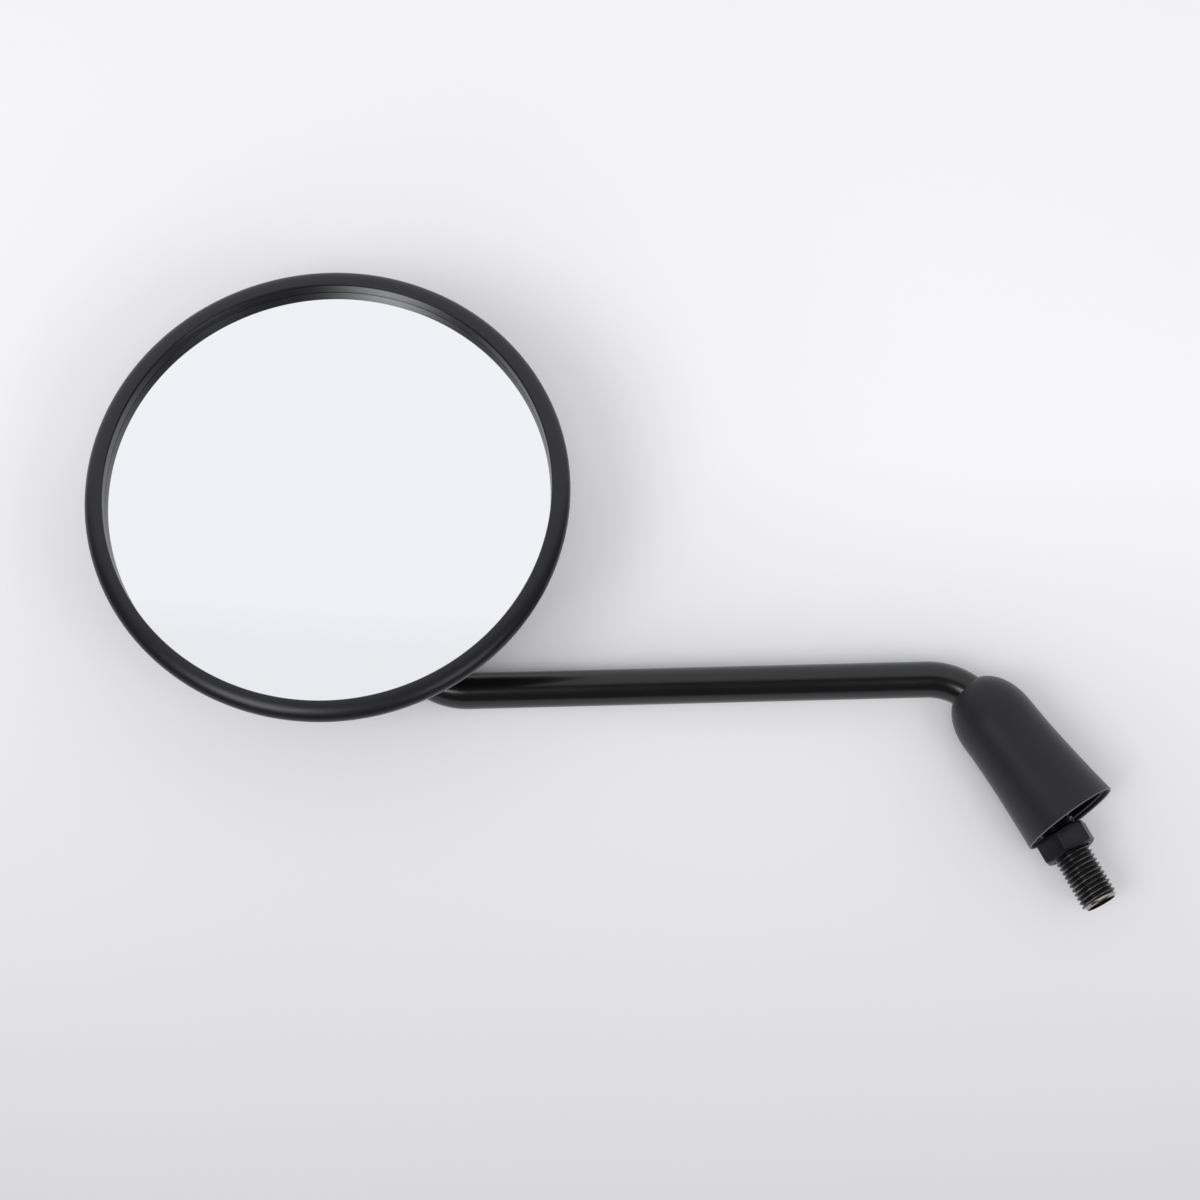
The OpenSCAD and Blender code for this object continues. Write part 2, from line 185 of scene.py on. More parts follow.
# Powder coat: near black with a soft satin gleam and the faint waves of orange peel,
# a little duller in broad patches where the film is thinner
powder_coat, spot = new_material("satin black powder coat")
film = noise(powder_coat, spot, 14 * mm, 3)
peel = noise(powder_coat, spot, 0.9 * mm, 2)
shade(powder_coat, {
    "Base Color": blend(powder_coat, film, "#060607", "#0a0a0b"),
    "Roughness": ramp(powder_coat, film, 0.2, 0.27),
    "Normal": bump(powder_coat, peel, 0.25, 0.02 * mm),
    "IOR": 1.52})

bm = bmesh.new()
foot = bmesh.ops.create_circle(bm, segments=rod_sides, radius=rod_r, cap_ends=True)["verts"]
bmesh.ops.translate(bm, verts=foot, vec=(0, 0, rod_start))
ring = extrude_ring(bm, list(bm.edges), Matrix.Translation((0, 0, first_bend.z - rod_start)))
ring = spin_ring(bm, ring, first_bend, (0, -1, 0), math.pi / 2 - arm_slope)
arm_way = Vector((-math.cos(arm_slope), 0, math.sin(arm_slope)))
arm_side = Vector((math.sin(arm_slope), 0, math.cos(arm_slope)))
ring = extrude_ring(bm, ring, Matrix.Translation(arm_way * arm_straight))
second_bend = first_bend + arm_side * 2 * bend_r + arm_way * arm_straight
ring = spin_ring(bm, ring, second_bend, (0, 1, 0), math.pi / 2 - arm_slope - post_lean)
post_way = Vector((-math.sin(post_lean), 0, math.cos(post_lean)))
post_side = Vector((math.cos(post_lean), 0, math.sin(post_lean)))
ring = extrude_ring(bm, ring, Matrix.Translation(post_way * post_straight))
post_end = second_bend - post_side * bend_r + post_way * post_straight
forward = Vector((0, -1, 0))
last_bend = post_end + forward * head_bend_r
ring = spin_ring(bm, ring, last_bend, post_way.cross(forward), math.pi / 2)
rod_end = last_bend + post_way * head_bend_r
# Turned end, as steps of length along the head's axis and new radius
turned_end = [
    (shoulder_l, rod_r), (turned_edge, rod_r - turned_edge),
    (0, neck_r + turned_edge), (turned_edge, neck_r), (neck_l, neck_r),
    (0, spigot_r), (spigot_l, spigot_r), (0, groove_r), (groove_l, groove_r),
    (0, spigot_r), (end_l, spigot_r), (turned_edge, spigot_r - turned_edge)]
last_r = rod_r
for length, radius in turned_end:
    ring = extrude_ring(bm, ring, resize_ring(rod_end, forward, length, radius / last_r))
    rod_end = rod_end + forward * length
    last_r = radius
bmesh.ops.edgeloop_fill(bm, edges=ring)
rod = add_piece("bent_rod", bm, powder_coat)
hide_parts("stem")
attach(rod, "stem")

# Rolled thread
# The stud is the lower end of the rod, with a right-hand thread of 1.25 mm pitch rolled
# on it and its tip chamfered. It is left out of the powder and blackened by black oxide.
thread_pitch = 1.25 * mm
crest_r = 4.94 * mm
root_r = 4.2 * mm
thread_round = 0.03 * mm
stud_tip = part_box("stem")[0].z
stud_chamfer = 1 * mm
fade_start = 10.5 * mm
fade_end = 13.4 * mm
thread_steps = 48


def maths(material, operation, *values):
    """Result of an operation on numbers."""
    return add_node(material, "Math", dict(enumerate(values)), operation=operation).outputs["Value"]


def vector_maths(material, operation, *vectors):
    """Result of an operation on vectors, which is a number for some operations."""
    node = add_node(material, "VectorMath", dict(enumerate(vectors)), operation=operation)
    return node.outputs["Value" if operation in ("DOT_PRODUCT", "LENGTH") else "Vector"]


# Black oxide: a thin dark iron oxide over bright steel, oiled, that glints on its edges.
# It has worn to grey in patches on the crests below the nut, and all round the tip
black_oxide, spot = new_material("oiled black oxide on steel")
blotch = noise(black_oxide, spot, 2.5 * mm, 4)
scratch = noise(black_oxide, spot, 0.25 * mm, 2)
off_axis = vector_maths(black_oxide, "MULTIPLY", spot, (1, 1, 0))
up_stud = add_node(black_oxide, "SeparateXYZ", {"Vector": spot}).outputs["Z"]
crest = ramp(black_oxide, vector_maths(black_oxide, "LENGTH", off_axis),
             0, 0.8, 4.7 * mm, 4.93 * mm)
below_nut = maths(black_oxide, "LESS_THAN", up_stud, -0.2 * mm)
crest_wear_and_lip_highlight = maths(black_oxide, "MULTIPLY", crest, below_nut)
patches = ramp(black_oxide, blotch, 0.12, 1, 0.38, 0.62)
tip = ramp(black_oxide, up_stud, 0, 1, stud_tip + 1 * mm, stud_tip + 0.8 * mm)
wear = maths(black_oxide, "MAXIMUM", maths(black_oxide, "MULTIPLY", crest_wear_and_lip_highlight, patches), tip)
oxide = blend(black_oxide, blotch, "#29292c", "#3b3b40")
shade(black_oxide, {
    "Base Color": blend(black_oxide, wear, oxide, "#a9a69c"),
    "Metallic": 1.0,
    "Roughness": ramp(black_oxide, wear, 0.4, 0.2),
    "Normal": bump(black_oxide, scratch, 0.6, 0.02 * mm)})


def cut_off(bm, point, outwards):
    """Cuts off what lies past a plane and closes the cut."""
    geom = list(bm.verts) + list(bm.edges) + list(bm.faces)
    cut = bmesh.ops.bisect_plane(bm, geom=geom, plane_co=point, plane_no=outwards,
                                 clear_outer=True)
    bmesh.ops.edgeloop_fill(bm, edges=edges_in(cut["geom_cut"]))


bm = bmesh.new()
turns = math.ceil((fade_end - stud_tip) / thread_pitch) + 2
# One pitch of the thread: rounded root, flank, rounded crest, flank
outline = [(root_r, 0), (root_r + thread_round, 0.13 * mm), (crest_r - thread_round, 0.53 * mm),
           (crest_r, 0.57 * mm), (crest_r, 0.68 * mm), (crest_r - thread_round, 0.72 * mm),
           (root_r + thread_round, 1.12 * mm), (root_r, thread_pitch)]
corners = [bm.verts.new((r, 0, stud_tip - thread_pitch + z)) for r, z in outline]
edges = [bm.edges.new(pair) for pair in zip(corners, corners[1:])]
bmesh.ops.spin(bm, geom=corners + edges, cent=(0, 0, 0), axis=(0, 0, 1),
               dvec=(0, 0, thread_pitch / thread_steps), angle=2 * math.pi * turns,
               steps=thread_steps * turns, use_duplicate=False)
bmesh.ops.remove_doubles(bm, verts=bm.verts, dist=0.005 * mm)
for height, side in ((stud_tip, -1), (fade_end, 1)):
    cut_off(bm, (0, 0, height), (0, 0, side))
# The tip is chamfered, and the thread fades out into the rod inside the boot
for vert in bm.verts:
    r = vert.co.xy.length
    chamfer_r = crest_r - stud_chamfer + (vert.co.z - stud_tip)
    fade = min(max((vert.co.z - fade_start) / (fade_end - fade_start), 0), 1)
    new_r = min(r, chamfer_r) * (1 - fade) + (rod_r + 0.05 * mm) * fade
    if r > 0:
        vert.co.xy *= new_r / r
thread = add_piece("rolled_thread", bm, black_oxide, 25)
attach(thread, "stem")

# Lock nut
# A thin hexagon nut, 13 mm across its flats, cut from bar, chamfered on both faces and
# tapped through. It is blackened as the stud is, and locks the stud in its boss.
nut_low, nut_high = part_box("lock_nut")
nut_h = nut_high.z - nut_low.z
nut_flat = 6.5 * mm
nut_turn = math.radians(7.5)
nut_bore = 5 * mm
nut_mouth = 0.25 * mm
nut_face = 6.2 * mm
nut_reach = 8 * mm
nut_fall = (nut_reach - nut_face) * math.tan(math.radians(30))
nut_steps = 144
nut_edge = 0.08 * mm


def spin_outline(bm, outline, origin, across, along, steps, closed=True):
    """Revolves an outline of (radius, height) points about an axis through an origin."""
    points = [bm.verts.new(origin + across * r + along * h) for r, h in outline]
    chain = points + points[:1] if closed else points
    edges = [bm.edges.new(pair) for pair in zip(chain, chain[1:])]
    bmesh.ops.spin(bm, geom=points + edges, cent=origin, axis=along, angle=2 * math.pi,
                   steps=steps, use_merge=True, use_duplicate=False)


bm = bmesh.new()
outline = [(nut_bore + nut_mouth, 0), (nut_face, 0), (nut_reach, nut_fall),
           (nut_reach, nut_h - nut_fall), (nut_face, nut_h), (nut_bore + nut_mouth, nut_h),
           (nut_bore, nut_h - nut_mouth), (nut_bore, nut_mouth)]
spin_outline(bm, outline, Vector((0, 0, nut_low.z)), Vector((1, 0, 0)), Vector((0, 0, 1)),
             nut_steps)
for side in range(6):
    turn = nut_turn + math.radians(30 + 60 * side)
    flat_way = Vector((math.cos(turn), math.sin(turn), 0))
    cut_off(bm, flat_way * nut_flat, flat_way)
hex_edges = [edge for edge in bm.edges
             if len(edge.link_faces) == 2 and edge.calc_face_angle() > math.radians(24)]
bmesh.ops.bevel(bm, geom=hex_edges, affect="EDGES", offset=nut_edge, segments=2, profile=0.5,
                material=-1, clamp_overlap=True)
nut = add_piece("hexagon_nut", bm, black_oxide, 25)
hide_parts("lock_nut")
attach(nut, "lock_nut")

# Rubber boot
# A moulded rubber sleeve that keeps water off the nut: a flared skirt and a rounded crown
# with a hole that hugs the rod. It has slipped a few degrees round the first bend.
boot_slip = math.radians(7.1)
boot_foot = 5.46 * mm
boot_mouth_r = 13 * mm
boot_shoulder_r = 10.65 * mm
boot_shoulder_h = 30.5 * mm
boot_crown_h = 14.3 * mm
boot_power = 2 / 0.93
boot_wall = 1.5 * mm
boot_hollow = 34 * mm
hole_r = 4.95 * mm
hole_lip = 0.4 * mm
boot_sides = 96
crown_steps = 14
slipped = (Matrix.Translation(first_bend) @ Matrix.Rotation(-boot_slip, 4, "Y")
           @ Matrix.Translation(-first_bend))
boot_mouth = slipped @ Vector((0, 0, boot_foot))
boot_axis = slipped.to_3x3() @ Vector((0, 0, 1))

# Boot rubber: charcoal, matt, with the fine even grain of a spark-eroded mould and
# a bloom that makes it paler where it is seen along its surface. The bore is painted
# near black as painted shade, with its sheen and reflection turned down, and painted
# highlights of pale grey lie along the edges of the trimmed mouth
boot_rubber, spot = new_material("matt charcoal rubber")
grain = noise(boot_rubber, spot, 0.35 * mm, 3)
handling = noise(boot_rubber, spot, 9 * mm, 3)
from_mouth = vector_maths(boot_rubber, "SUBTRACT", spot, boot_mouth)
up_axis = vector_maths(boot_rubber, "PROJECT", from_mouth, boot_axis)
off_axis = vector_maths(boot_rubber, "SUBTRACT", from_mouth, up_axis)
outward = vector_maths(boot_rubber, "DOT_PRODUCT",
                       vector_maths(boot_rubber, "NORMALIZE", off_axis),
                       add_node(boot_rubber, "NewGeometry").outputs["True Normal"])
# 1 on the outer faces, 0 in the bore, which is painted near black as painted shade
bloom_and_bore_shade = ramp(boot_rubber, outward, 0, 1, -0.6, -0.2)
inside = maths(boot_rubber, "SUBTRACT", 1, bloom_and_bore_shade)
above = vector_maths(boot_rubber, "DOT_PRODUCT", from_mouth, boot_axis)
# Painted highlights: pale grey lines along the mouth's outer edge and the bevel's inner edge
outer_lip_highlight = ramp(boot_rubber, above, 0, 0.8, 0.35 * mm, 0.2 * mm)
past_bevel = maths(boot_rubber, "ABSOLUTE", maths(boot_rubber, "SUBTRACT", above, 1.2 * mm))
inner_bead_highlight = maths(boot_rubber, "MULTIPLY",
                   ramp(boot_rubber, past_bevel, 0, 0.5, 0.2 * mm, 0.08 * mm), inside)
crest_wear_and_lip_highlight = maths(boot_rubber, "MAXIMUM", outer_lip_highlight, inner_bead_highlight)
outside = blend(boot_rubber, handling, "#15151a", "#1b1b20")
# Painted shade: the bore's colour is near black
body = blend(boot_rubber, bloom_and_bore_shade, "#050507", outside)
shade(boot_rubber, {
    "Base Color": blend(boot_rubber, crest_wear_and_lip_highlight, body, "#5a5a62"),
    "Roughness": ramp(boot_rubber, handling, 0.42, 0.52),
    "Normal": bump(boot_rubber, grain, 0.3, 0.03 * mm),
    "IOR": 1.38,
    "Specular IOR Level": ramp(boot_rubber, bloom_and_bore_shade, 0.1, 0.5),
    "Sheen Weight": ramp(boot_rubber, bloom_and_bore_shade, 0, 0.22),
    "Sheen Roughness": 0.4,
    "Sheen Tint": linear("#b8b8c0")})


def boot_flank(h, inset=0):
    """Radius of the boot's skirt, or of its hollow, at a height above its mouth."""
    flare = (boot_mouth_r - boot_shoulder_r) * (1 - h / boot_shoulder_h) ** 1.5
    return boot_shoulder_r - inset + flare


def straight_ring(h, radius):
    """Ring of the upright boot at a height above its mouth, as a function of the angle."""
    return lambda turn: Vector((radius * math.cos(turn), radius * math.sin(turn), boot_foot + h))


def rod_ring(bend, radius):
    """Ring round the rod at an angle of the first bend."""
    return lambda turn: first_bend + Matrix.Rotation(-bend, 3, "Y") @ Vector(
        (bend_r + radius * math.cos(turn), radius * math.sin(turn), 0))


def crown_fill(point):
    """How far out a point lies in the crown: 1 on its surface."""
    out = point.xy.length / boot_shoulder_r
    up = max(point.z - boot_foot - boot_shoulder_h, 0) / boot_crown_h
    return (out ** boot_power + up ** boot_power) ** (1 / boot_power)


def hole_bend(turn, radius):
    """Angle of the first bend at which a line along the rod comes out of the crown."""
    low, high = 0, math.radians(60)
    for _ in range(30):
        middle = (low + high) / 2
        if crown_fill(rod_ring(middle, radius)(turn)) < 1:
            low = middle
        else:
            high = middle
    return high


def hole_ring(radius, depth):
    """Ring round the rod at a depth below the crown's surface."""
    return lambda turn: rod_ring(hole_bend(turn, radius) - depth / bend_r, radius)(turn)


def crown_ring(share):
    """Ring on the crown at a share of the way from the shoulder to the hole."""
    shoulder = straight_ring(boot_shoulder_h, boot_shoulder_r)
    hole = hole_ring(hole_r + hole_lip, 0)
    middle = Vector((0, 0, boot_foot + boot_shoulder_h))

    def point_at(turn):
        point = shoulder(turn).lerp(hole(turn), share)
        return middle + (point - middle) / crown_fill(point)
    return point_at


# Outside, from the mouth to the hole
rings = [straight_ring(0.2 * mm, boot_mouth_r), straight_ring(0.5 * mm, boot_flank(0.5 * mm))]
rings += [straight_ring(h * mm, boot_flank(h * mm)) for h in range(2, 30, 2)]
rings += [crown_ring(step / crown_steps) for step in range(crown_steps + 1)]
# Hole, round the rod
rings += [hole_ring(hole_r + 0.12 * mm, 0.12 * mm), hole_ring(hole_r, 0.4 * mm),
          hole_ring(hole_r, 1.2 * mm)]
rings += [rod_ring(math.radians(bend), hole_r + 0.2 * mm) for bend in (10, 0)]
# Hollow, from its roof down to the bevel of the mouth
rings += [straight_ring(boot_hollow, hole_r + 0.2 * mm),
          straight_ring(boot_hollow - 0.6 * mm, 7 * mm),
          straight_ring(boot_hollow - 2 * mm, boot_shoulder_r - boot_wall - 0.8 * mm)]
rings += [straight_ring(h * mm, boot_flank(h * mm, boot_wall))
          for h in (30, 24, 18, 12, 6, 2, 1.3)]
rings += [straight_ring(h * mm, boot_mouth_r - inset * mm)
          for h, inset in ((1.15, 1.45), (0.25, 0.65), (0.06, 0.45), (0, 0.2))]

bm = bmesh.new()
loops = []
for point_at in rings:
    verts = [bm.verts.new(point_at(2 * math.pi * i / boot_sides)) for i in range(boot_sides)]
    loops.append([bm.edges.new(pair) for pair in zip(verts, verts[1:] + verts[:1])])
for loop, next_loop in zip(loops, loops[1:] + loops[:1]):
    bmesh.ops.bridge_loops(bm, edges=loop + next_loop)
bmesh.ops.transform(bm, matrix=slipped, verts=bm.verts, space=Matrix.Identity(4))
boot = add_piece("rubber_boot", bm, boot_rubber, 50)
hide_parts("boot")
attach(boot, "boot")


# Ball and its spring clip
# A ground steel ball pressed on the stem's spigot and kept there by a small spring clip.
# Both are hidden in the socket, apart from the ball's back in the neck opening.
def refinish(material, *names):
    """Gives pieces of the CAD model a material."""
    for name in names:
        frame["nodes"][name].material_slots[0].material = material


# Ground steel: bright, with fine lines left by the grinding wheel
ground_steel, spot = new_material("ground bearing steel")
stretched = add_node(ground_steel, "Mapping", {"Vector": spot, "Scale": (0.1, 1, 0.1)})
lines = noise(ground_steel, stretched.outputs["Vector"], 0.15 * mm, 2)
shade(ground_steel, {
    "Base Color": linear("#b9bbbf"),
    "Metallic": 1.0,
    "Roughness": ramp(ground_steel, lines, 0.14, 0.26)})
refinish(ground_steel, "ball")

# Phosphated spring steel: dark grey, dry and slightly mottled
spring_steel, spot = new_material("phosphated spring steel")
mottle = noise(spring_steel, spot, 0.6 * mm, 3)
shade(spring_steel, {
    "Base Color": blend(spring_steel, mottle, "#4a4b4e", "#6a6b6e"),
    "Metallic": 1.0,
    "Roughness": 0.45})
refinish(spring_steel, "circlip", "spring_washer_1", "spring_washer_2", "spring_washer_3")

# Liners
# Two moulded nylon half cups, one behind the ball and one in front, that the ball turns
# in with a steady grip.

# Natural nylon: milky white, slightly waxy, with a faint mould texture
natural_nylon, spot = new_material("natural moulded nylon")
flow = noise(natural_nylon, spot, 2 * mm, 2)
shade(natural_nylon, {
    "Base Color": blend(natural_nylon, flow, "#d3cfc3", "#dedbd1"),
    "Roughness": 0.42,
    "IOR": 1.53,
    "Subsurface Weight": 0.2,
    "Subsurface Radius": (1 * mm, 0.8 * mm, 0.6 * mm),
    "Subsurface Scale": 1.0})
refinish(natural_nylon, "rear_liner", "front_liner")

# Clamp plate and screws
# A pressed steel plate, dished round the front liner, that three cross-recessed screws
# pull against the bosses of the shell. Plate and screws are zinc plated.

# Bright zinc: pale grey with a cold tint and fine spangles
bright_zinc, spot = new_material("bright zinc plate")
spangle = add_node(bright_zinc, "TexVoronoi", {"Vector": spot, "Scale": 1 / (0.5 * mm)})
shade(bright_zinc, {
    "Base Color": linear("#b7babd"),
    "Metallic": 1.0,
    "Roughness": ramp(bright_zinc, spangle.outputs["Distance"], 0.24, 0.36)})
refinish(bright_zinc, "clamp_plate", "clamp_screw_1", "clamp_screw_2", "clamp_screw_3")

# Shell
# The moulded back of the head: a thin domed bowl with a spigot that takes the bezel,
# a ledge for the carrier plate and a socket whose neck opening lets the stem swing.
rim_front, rim_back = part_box("bezel")
rim_r = (rim_back.x - rim_front.x) / 2
rim_h = 2.6 * mm
head_centre = Vector((ball_centre.x, rim_front.y + rim_h, ball_centre.z))
backwards = Vector((0, 1, 0))
sideways = Vector((1, 0, 0))
head_steps = 180
shell_r = rim_r - 1.9 * mm
shell_start = 2.9 * mm
shell_wall = 2.2 * mm
dome_h = 21 * mm
ball_depth = ball_centre.y - head_centre.y
seat_r = 10.9 * mm
seat_start = 12.3 * mm
socket_r = 13.5 * mm
neck_half = math.radians(46)
neck_lip_r = socket_r * math.sin(neck_half)
neck_lip_h = ball_depth + socket_r * math.cos(neck_half)
glass_edge = 1.3 * mm
pocket_r = rim_r - 3.55 * mm
ledge_depth = 5.95 * mm
ledge_t = 1.8 * mm
ledge_r = rim_r - 7.1 * mm

# Black moulding: satin black polypropylene with the fine even grain of its mould
# and a slightly milky sheen
black_moulding, spot = new_material("satin black moulding")
grain = noise(black_moulding, spot, 0.3 * mm, 3)
flow = noise(black_moulding, spot, 18 * mm, 2)
shade(black_moulding, {
    "Base Color": blend(black_moulding, flow, "#0e0e13", "#141419"),
    "Roughness": ramp(black_moulding, flow, 0.29, 0.36),
    "Normal": bump(black_moulding, grain, 0.2, 0.02 * mm),
    "IOR": 1.49,
    "Specular IOR Level": 0.45})


def arc_at(centre_r, centre_h, across, along, degrees):
    """Points of an elliptical arc in an outline, at angles in degrees."""
    return [(centre_r + across * math.cos(angle), centre_h + along * math.sin(angle))
            for angle in map(math.radians, degrees)]


def arc(centre_r, centre_h, across, along, start, end, steps):
    """Points of an elliptical arc in an outline, in even steps of its angle."""
    degrees = [start + (end - start) * i / steps for i in range(steps + 1)]
    return arc_at(centre_r, centre_h, across, along, degrees)


def dome_at(r, inset=0):
    """Depth of the shell's dome, or of its inside, at a radius."""
    return shell_start + (dome_h - inset) * math.sqrt(1 - (r / (shell_r - inset)) ** 2)


# Spigot and dome
outline = [(shell_r - 0.6 * mm, glass_edge), (shell_r - 0.6 * mm, shell_start),
           (shell_r - 0.2 * mm, shell_start)]
outline += arc_at(0, shell_start, shell_r, dome_h, (0.6, 2, 4, 7, *range(10, 77, 3)))
# The collar rises from the dome in a small fillet and is rounded over at the neck
outline += [(r * mm, dome_at(r * mm) + rise * mm)
            for r, rise in ((13, 0), (12.2, 0.12), (11.6, 0.5), (11.2, 0.95))]
outline += arc(neck_lip_r + 0.3 * mm, neck_lip_h - 0.7 * mm, 0.8 * mm, 0.7 * mm, 15, 150, 8)
# Round seat of the rear liner, and the socket's wall
outline += [(seat_r * math.sin(neck_half), ball_depth + seat_r * math.cos(neck_half))]
outline += arc(0, ball_depth, seat_r, seat_r, 40, 0, 8)
outline += [(seat_r, seat_start), (socket_r, seat_start),
            (socket_r, dome_at(socket_r, shell_wall))]
# Inside of the dome, ledge and pocket
outline += [(r * mm, dome_at(r * mm, shell_wall)) for r in (18, 24, 30, 36, 42, 47, 51, 54)]
outline += [(ledge_r + 1.2 * mm, ledge_depth + ledge_t), (ledge_r, ledge_depth + ledge_t),
            (ledge_r, ledge_depth), (pocket_r, ledge_depth), (pocket_r, glass_edge)]
bm = bmesh.new()
spin_outline(bm, outline, head_centre, sideways, backwards, head_steps)
shell = add_piece("head_shell", bm, black_moulding, 32)
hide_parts("shell")
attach(shell, "head")

# Carrier plate and foam pad
# A dished plastic plate with a ring and spokes behind it, and a disc of closed-cell foam
# that keeps the glass from rattling. Both are covered by the glass and the shell.

# Carrier plastic: dull black ABS with a coarse inside finish
carrier_plastic, spot = new_material("dull black ABS")
grain = noise(carrier_plastic, spot, 0.8 * mm, 3)
shade(carrier_plastic, {
    "Base Color": blend(carrier_plastic, grain, "#29292b", "#2f2f32"),
    "Roughness": 0.6,
    "Normal": bump(carrier_plastic, grain, 0.3, 0.05 * mm),
    "IOR": 1.54})
refinish(carrier_plastic, "carrier_plate")

# Closed-cell foam: dark grey with fine open pits on its cut faces
closed_cell_foam, spot = new_material("closed-cell foam")
cells = add_node(closed_cell_foam, "TexVoronoi", {
    "Vector": spot, "Scale": 1 / (0.4 * mm)}).outputs["Distance"]
shade(closed_cell_foam, {
    "Base Color": blend(closed_cell_foam, cells, "#2c2c2e", "#454548"),
    "Roughness": 0.95,
    "Normal": bump(closed_cell_foam, cells, 0.8, 0.1 * mm)})
refinish(closed_cell_foam, "foam_pad")

# Mirror glass
# A disc of float glass bent to a one metre radius, silvered, with its edge ground. Only
# the round field inside the bezel's lip shows.
glass_r = rim_r - 4.3 * mm
glass_t = 2 * mm
glass_curve = 1000 * mm
glass_bevel = 0.25 * mm
glass_back = glass_edge + glass_t

# Silvering: a clean silver layer under glass, with a trace of haze that is just
# stronger in a few wiped patches
mirror_silver, spot = new_material("silvered mirror glass")
wiped = noise(mirror_silver, spot, 25 * mm, 3)
shade(mirror_silver, {
    "Base Color": linear("#f4f5f7"),
    "Metallic": 1.0,
    "Roughness": ramp(mirror_silver, wiped, 0.004, 0.02)})


def curve_at(r, edge_depth):
    """Depth at a radius of a face of the glass."""
    rim_drop = math.sqrt(glass_curve ** 2 - glass_r ** 2)
    return edge_depth + rim_drop - math.sqrt(glass_curve ** 2 - r ** 2)


face_steps = [glass_r * share / 12 for share in range(12)]
outline = [(r, curve_at(r, glass_edge)) for r in face_steps]
outline += [(glass_r - glass_bevel, curve_at(glass_r - glass_bevel, glass_edge)),
            (glass_r, glass_edge + glass_bevel), (glass_r, glass_back - glass_bevel),
            (glass_r - glass_bevel, glass_back)]
outline += [(r, curve_at(r, glass_back)) for r in reversed(face_steps)]
bm = bmesh.new()
spin_outline(bm, outline, head_centre, sideways, backwards, head_steps, closed=False)
glass = add_piece("mirror_disc", bm, mirror_silver, 20)
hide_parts("mirror_glass")
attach(glass, "head")

# Glass gasket
# A soft rubber ring of L section round the glass's edge and under its back, hidden by
# the bezel's lip.

# Gasket rubber: plain black, dull, a little dusty
gasket_rubber, spot = new_material("black gasket rubber")
dust = noise(gasket_rubber, spot, 3 * mm, 4)
shade(gasket_rubber, {
    "Base Color": blend(gasket_rubber, dust, "#131314", "#1e1e20"),
    "Roughness": 0.7,
    "IOR": 1.5})
refinish(gasket_rubber, "glass_gasket")

# Bezel
# A moulded ring that snaps over the shell's spigot and holds the glass: a rounded band,
# a rolled lip that drops to the glass, and a tucked-in back edge at the parting line.
band_w = 4.4 * mm
band_r = rim_r - band_w
lip_r = rim_r - 4.8 * mm
lip_round = 0.7 * mm
lip_back = glass_edge - 0.1 * mm
skirt_r = shell_r - 0.5 * mm
parting = 2.7 * mm
back_r = 3.6 * mm
bezel_steps = 240
outline = arc(band_r, 0, band_w, -rim_h, 0, 90, 16)
outline += arc(band_r, lip_round - rim_h, band_r - lip_r, lip_round, 262, 180, 7)
outline += [(lip_r - 0.1 * mm, lip_back - 0.1 * mm), (lip_r, lip_back), (skirt_r, lip_back)]
outline += [(skirt_r, parting - 0.2 * mm), (skirt_r + 0.2 * mm, parting)]
outline += arc(rim_r - back_r, 0, back_r, back_r, 45, 5, 8)
bm = bmesh.new()
spin_outline(bm, outline, head_centre, sideways, backwards, bezel_steps)
bezel = add_piece("head_bezel", bm, black_moulding, 32)
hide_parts("bezel")
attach(bezel, "head")

# Table
# The mirror lies on its back on a large pale table, which its post, arm and boot touch.
# The table is seen from its top only, so that it hides nothing from behind.
table_size = 6
table_rest = Vector((-0.13, 4.95 * mm, 0.14))
table_up = Vector((0.0626, -0.998, 0)).normalized()

# Table top: matt white laminate, faintly cloudy, with a painted falloff of light that
# makes it greyer toward the edge that lies below the mirror in the camera's view
white_laminate, spot = new_material("matt white laminate")
cloud = noise(white_laminate, spot, 180 * mm, 2)
from_edge = vector_maths(white_laminate, "DOT_PRODUCT", spot, (0.43, 0, 0.83))
# Painted falloff of light: the table darkens toward the edge at the bottom of the camera's view
painted_falloff = ramp(white_laminate, from_edge, 0.57, 1, -150 * mm, 110 * mm)
falloff_shaded = add_node(white_laminate, "VectorMath", {
    0: blend(white_laminate, cloud, "#eaeaec", "#eeeef0"), "Scale": painted_falloff}, operation="SCALE")
matt = add_node(white_laminate, "BsdfDiffuse", {"Color": falloff_shaded.outputs["Vector"]})
clear = add_node(white_laminate, "BsdfTransparent")
one_sided = add_node(white_laminate, "MixShader", {
    0: add_node(white_laminate, "NewGeometry").outputs["Backfacing"],
    1: matt.outputs["BSDF"], 2: clear.outputs["BSDF"]})
add_node(white_laminate, "OutputMaterial", {"Surface": one_sided.outputs["Shader"]})

bm = bmesh.new()
lie = Matrix.Translation(table_rest) @ table_up.to_track_quat("Z", "Y").to_matrix().to_4x4()
bmesh.ops.create_grid(bm, x_segments=1, y_segments=1, size=table_size / 2, matrix=lie)
mesh = bpy.data.meshes.new("table_top")
bm.to_mesh(mesh)
bm.free()
mesh.materials.append(white_laminate)
table = bpy.data.objects.new("table_top", mesh)
bpy.context.scene.collection.objects.link(table)

# Camera
# It stands 0.68 m in front of the mirror and a little below it, with a long lens.
scene = bpy.context.scene
camera = bpy.data.objects.new("photo_camera", bpy.data.cameras.new("photo_camera"))
scene.collection.objects.link(camera)
scene.camera = camera
camera.data.sensor_width = 36
camera.data.lens = 78
camera.data.clip_start = 0.02
camera.data.clip_end = 30
camera_place = Vector((-187.17, -649.71, -97.24)) * mm
look = Vector((0.16020, 0.93728, 0.30958)).normalized()
picture_up = Vector((0.42861, -0.34857, 0.83354))
picture_right = look.cross(picture_up).normalized()
picture_up = picture_right.cross(look)
turned = Matrix((picture_right, picture_up, -look)).transposed().to_4x4()
camera.matrix_world = Matrix.Translation(camera_place) @ turned

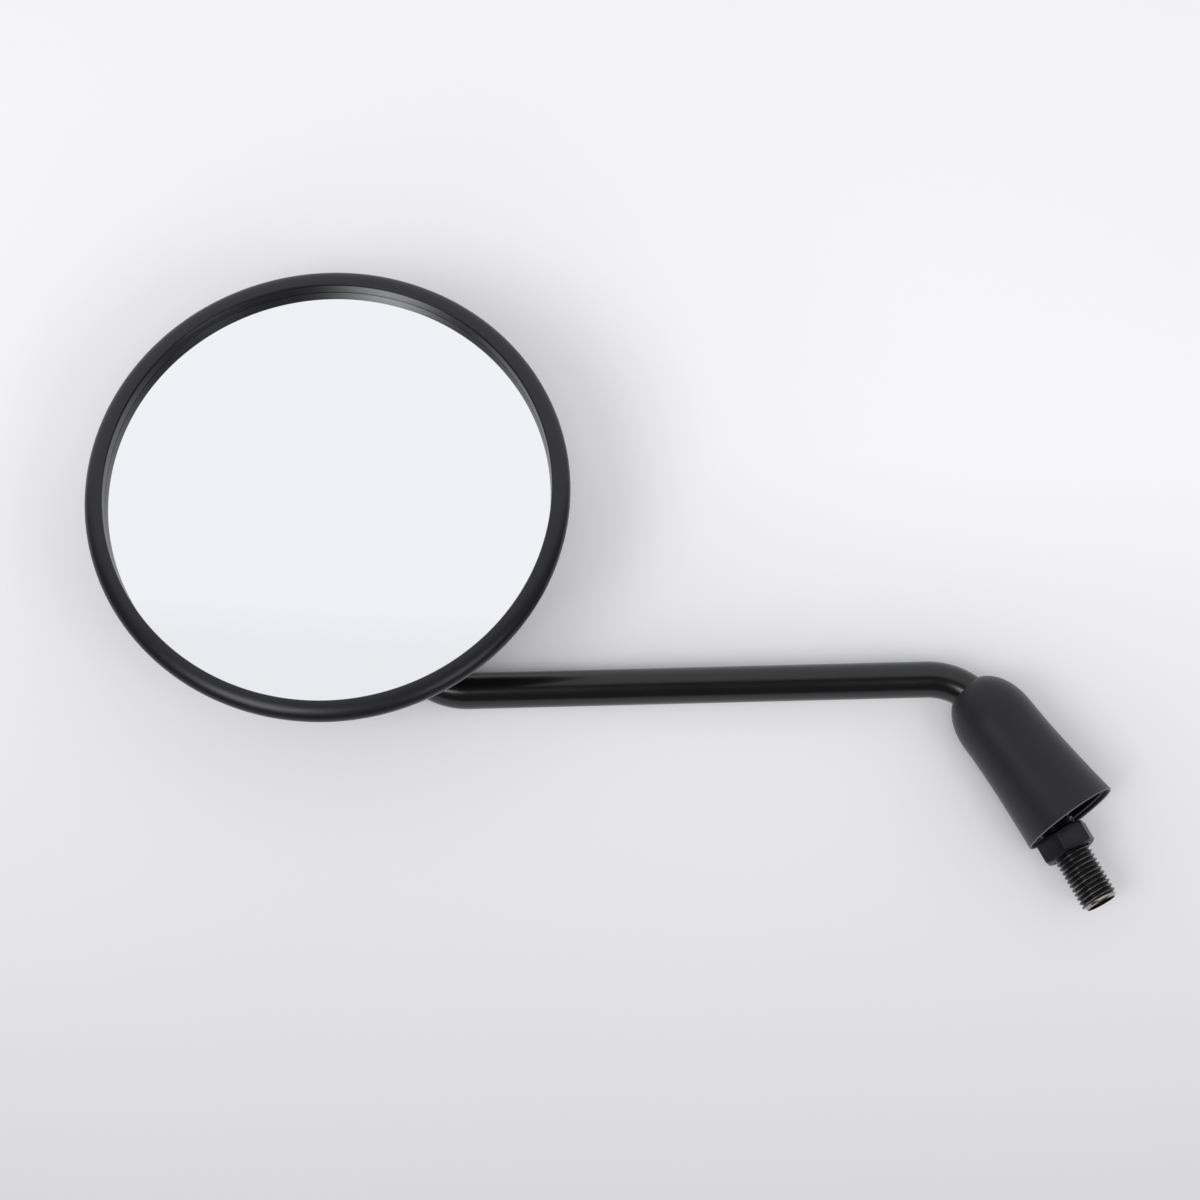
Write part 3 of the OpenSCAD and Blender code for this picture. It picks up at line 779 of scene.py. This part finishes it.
# Lamps and room
# Soft studio light: a broad lamp from the picture's left, a weaker one from its right and
# a fill beside the camera. The pale room lights most from below the picture, and what
# shines mirrors its bright wall above the picture.
subject = Vector((-0.06, 0, 0.09))


def add_lamp(name, toward, distance, size, watts, mirrored):
    """Square area lamp at a distance from the subject, facing it."""
    lamp = bpy.data.objects.new(name, bpy.data.lights.new(name, "AREA"))
    lamp.data.size = size
    lamp.data.energy = watts
    lamp.location = subject + toward.normalized() * distance
    lamp.rotation_euler = toward.to_track_quat("Z", "Y").to_euler()
    lamp.visible_glossy = mirrored
    scene.collection.objects.link(lamp)


left_side = -look - 0.42 * picture_right - 0.1 * picture_up
right_side = -look + 0.5 * picture_right - 0.2 * picture_up
add_lamp("left_softbox", left_side, distance=1.4, size=0.5, watts=5, mirrored=True)
add_lamp("front_fill", -look, distance=1.2, size=0.3, watts=2, mirrored=False)
add_lamp("right_softbox", right_side, distance=1.2, size=0.35, watts=1.4, mirrored=True)

room = bpy.data.worlds.new("pale studio")
scene.world = room
room.use_nodes = True
room.node_tree.nodes.clear()


def glow(colour, strength):
    """Light of the room in one colour."""
    return add_node(room, "Background", {
        "Color": linear(colour), "Strength": strength}).outputs["Background"]


# Height is the sine of the angle above the picture's level: 1 straight up in the picture
way = add_node(room, "TexCoord").outputs["Generated"]
height = vector_maths(room, "DOT_PRODUCT", way, picture_up)
bright_wall = ramp(room, height, 0.1, 0.97, 0.3, 0.5)
ceiling = ramp(room, height, 0, 0.06, 0.57, 0.6)
low_side = ramp(room, height, 1.58, 0.4, -0.8, 0.8)
mirrored = glow("#f7f7fa", maths(room, "ADD", bright_wall, ceiling))
ambient = glow("#f8f8fa", low_side)
seen = glow("#e6e7e9", 1.0)
rays = add_node(room, "LightPath").outputs
reflected = add_node(room, "MixShader", {0: rays["Is Glossy Ray"], 1: ambient, 2: mirrored})
shown = add_node(room, "MixShader", {
    0: rays["Is Camera Ray"], 1: reflected.outputs["Shader"], 2: seen})
add_node(room, "OutputWorld", {"Surface": shown.outputs["Shader"]})

scene.view_settings.view_transform = "Standard"
